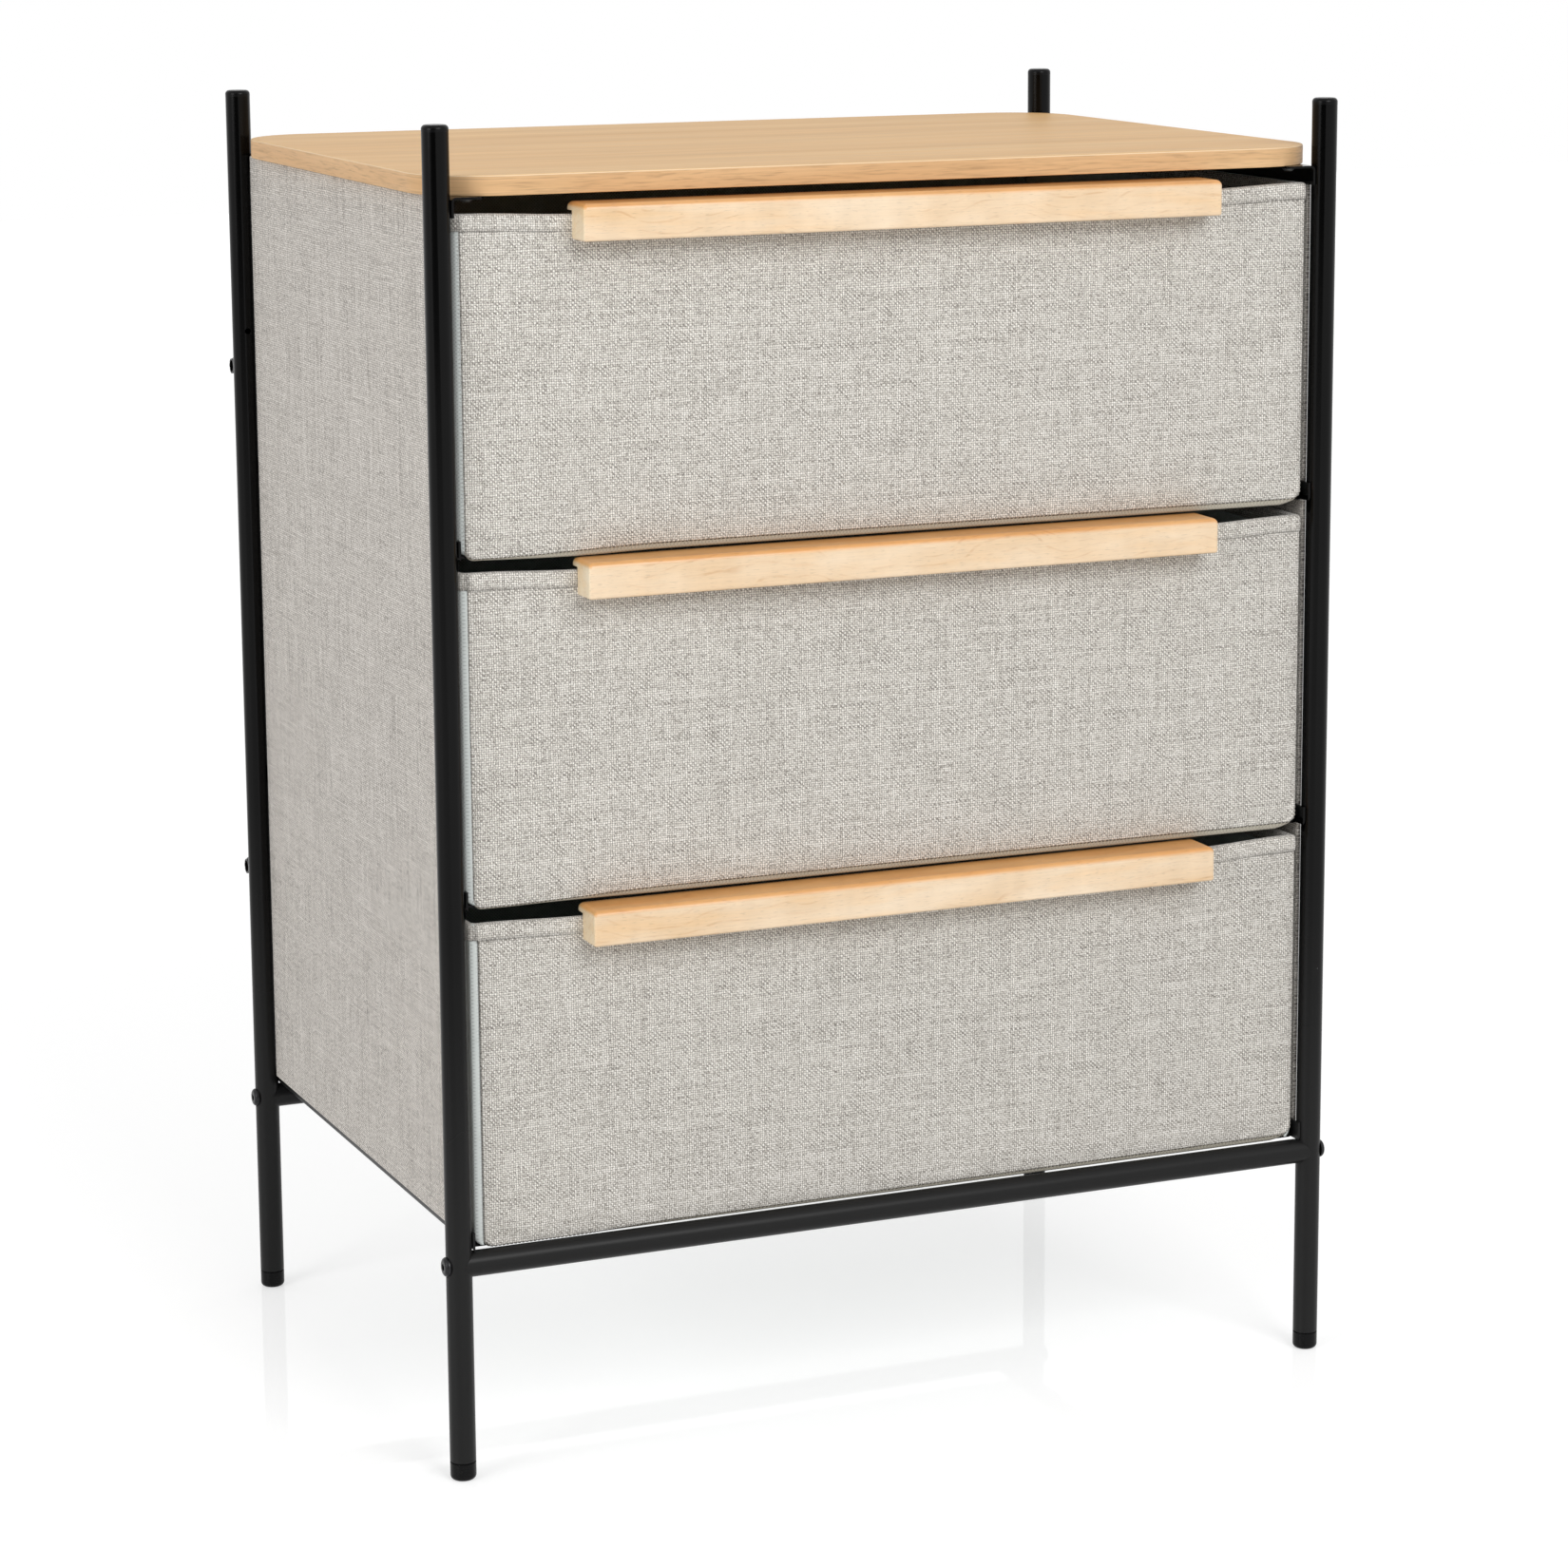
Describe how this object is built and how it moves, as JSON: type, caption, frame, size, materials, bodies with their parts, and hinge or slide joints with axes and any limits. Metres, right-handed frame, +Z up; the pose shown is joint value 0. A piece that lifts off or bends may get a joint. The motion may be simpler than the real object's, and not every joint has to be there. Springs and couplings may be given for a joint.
{
  "type": "fabric drawer dresser",
  "caption": "Tall open tube-frame dresser with a round-cornered wood top, cloth side panels and linen-look cloth drawers that slide on bent-sheet runners, each with a long wood bar pull.",
  "frame": {"origin": "on the floor, under the middle of the whole dresser with its drawers shut", "axes": "+Z up; the drawer fronts face -Y; +X to the right as seen from the front"},
  "size_m": [0.6064, 0.4468, 0.82],
  "materials": {
    "frame_steel": "satin black powder coat",
    "cap_plastic": "black moulded plastic",
    "bolt_steel": "black oxide",
    "screw_steel": "zinc plated",
    "board_wood": "light oak grain, satin",
    "pull_wood": "pale solid wood, satin lacquer",
    "front_linen": "heathered grey linen weave",
    "panel_cloth": "heathered grey linen weave over board",
    "side_cloth": "plain pale non-woven cloth",
    "base_cloth": "plain pale non-woven cloth over board"
  },
  "bodies": {
    "frame": {"post_front_left": "frame_steel", "foot_cap_front_left": "cap_plastic", "top_cap_front_left": "cap_plastic", "post_front_right": "frame_steel", "foot_cap_front_right": "cap_plastic", "top_cap_front_right": "cap_plastic", "post_rear_left": "frame_steel", "foot_cap_rear_left": "cap_plastic", "top_cap_rear_left": "cap_plastic", "post_rear_right": "frame_steel", "foot_cap_rear_right": "cap_plastic", "top_cap_rear_right": "cap_plastic", "rail_front": "frame_steel", "rail_rear": "frame_steel", "rail_inserts": "screw_steel", "rail_bolts": "bolt_steel", "brace_lower": "frame_steel", "brace_upper": "frame_steel", "brace_bolts": "bolt_steel", "top_rail_left": "frame_steel", "top_rail_right": "frame_steel", "side_panel_left": "panel_cloth", "side_panel_right": "panel_cloth", "top_board": "board_wood", "board_screws": "screw_steel", "runner_bottom_left": "frame_steel", "runner_bottom_right": "frame_steel", "runner_middle_left": "frame_steel", "runner_middle_right": "frame_steel", "runner_top_left": "frame_steel", "runner_top_right": "frame_steel"},
    "bottom_drawer": {"drawer_bottom_front": "front_linen", "drawer_bottom_wall_left": "side_cloth", "drawer_bottom_wall_right": "side_cloth", "drawer_bottom_back": "side_cloth", "drawer_bottom_base": "base_cloth", "drawer_bottom_pull": "pull_wood", "drawer_bottom_pull_screws": "screw_steel"},
    "middle_drawer": {"drawer_middle_front": "front_linen", "drawer_middle_wall_left": "side_cloth", "drawer_middle_wall_right": "side_cloth", "drawer_middle_back": "side_cloth", "drawer_middle_base": "base_cloth", "drawer_middle_pull": "pull_wood", "drawer_middle_pull_screws": "screw_steel"},
    "top_drawer": {"drawer_top_front": "front_linen", "drawer_top_wall_left": "side_cloth", "drawer_top_wall_right": "side_cloth", "drawer_top_back": "side_cloth", "drawer_top_base": "base_cloth", "drawer_top_pull": "pull_wood", "drawer_top_pull_screws": "screw_steel"}
  },
  "joints": [
    {"name": "bottom_drawer_slide", "type": "slide", "parent": "frame", "child": "bottom_drawer", "axis": [0, -1, 0], "range_m": [0, 0.3]},
    {"name": "middle_drawer_slide", "type": "slide", "parent": "frame", "child": "middle_drawer", "axis": [0, -1, 0], "range_m": [0, 0.3]},
    {"name": "top_drawer_slide", "type": "slide", "parent": "frame", "child": "top_drawer", "axis": [0, -1, 0], "range_m": [0, 0.3]}
  ]
}
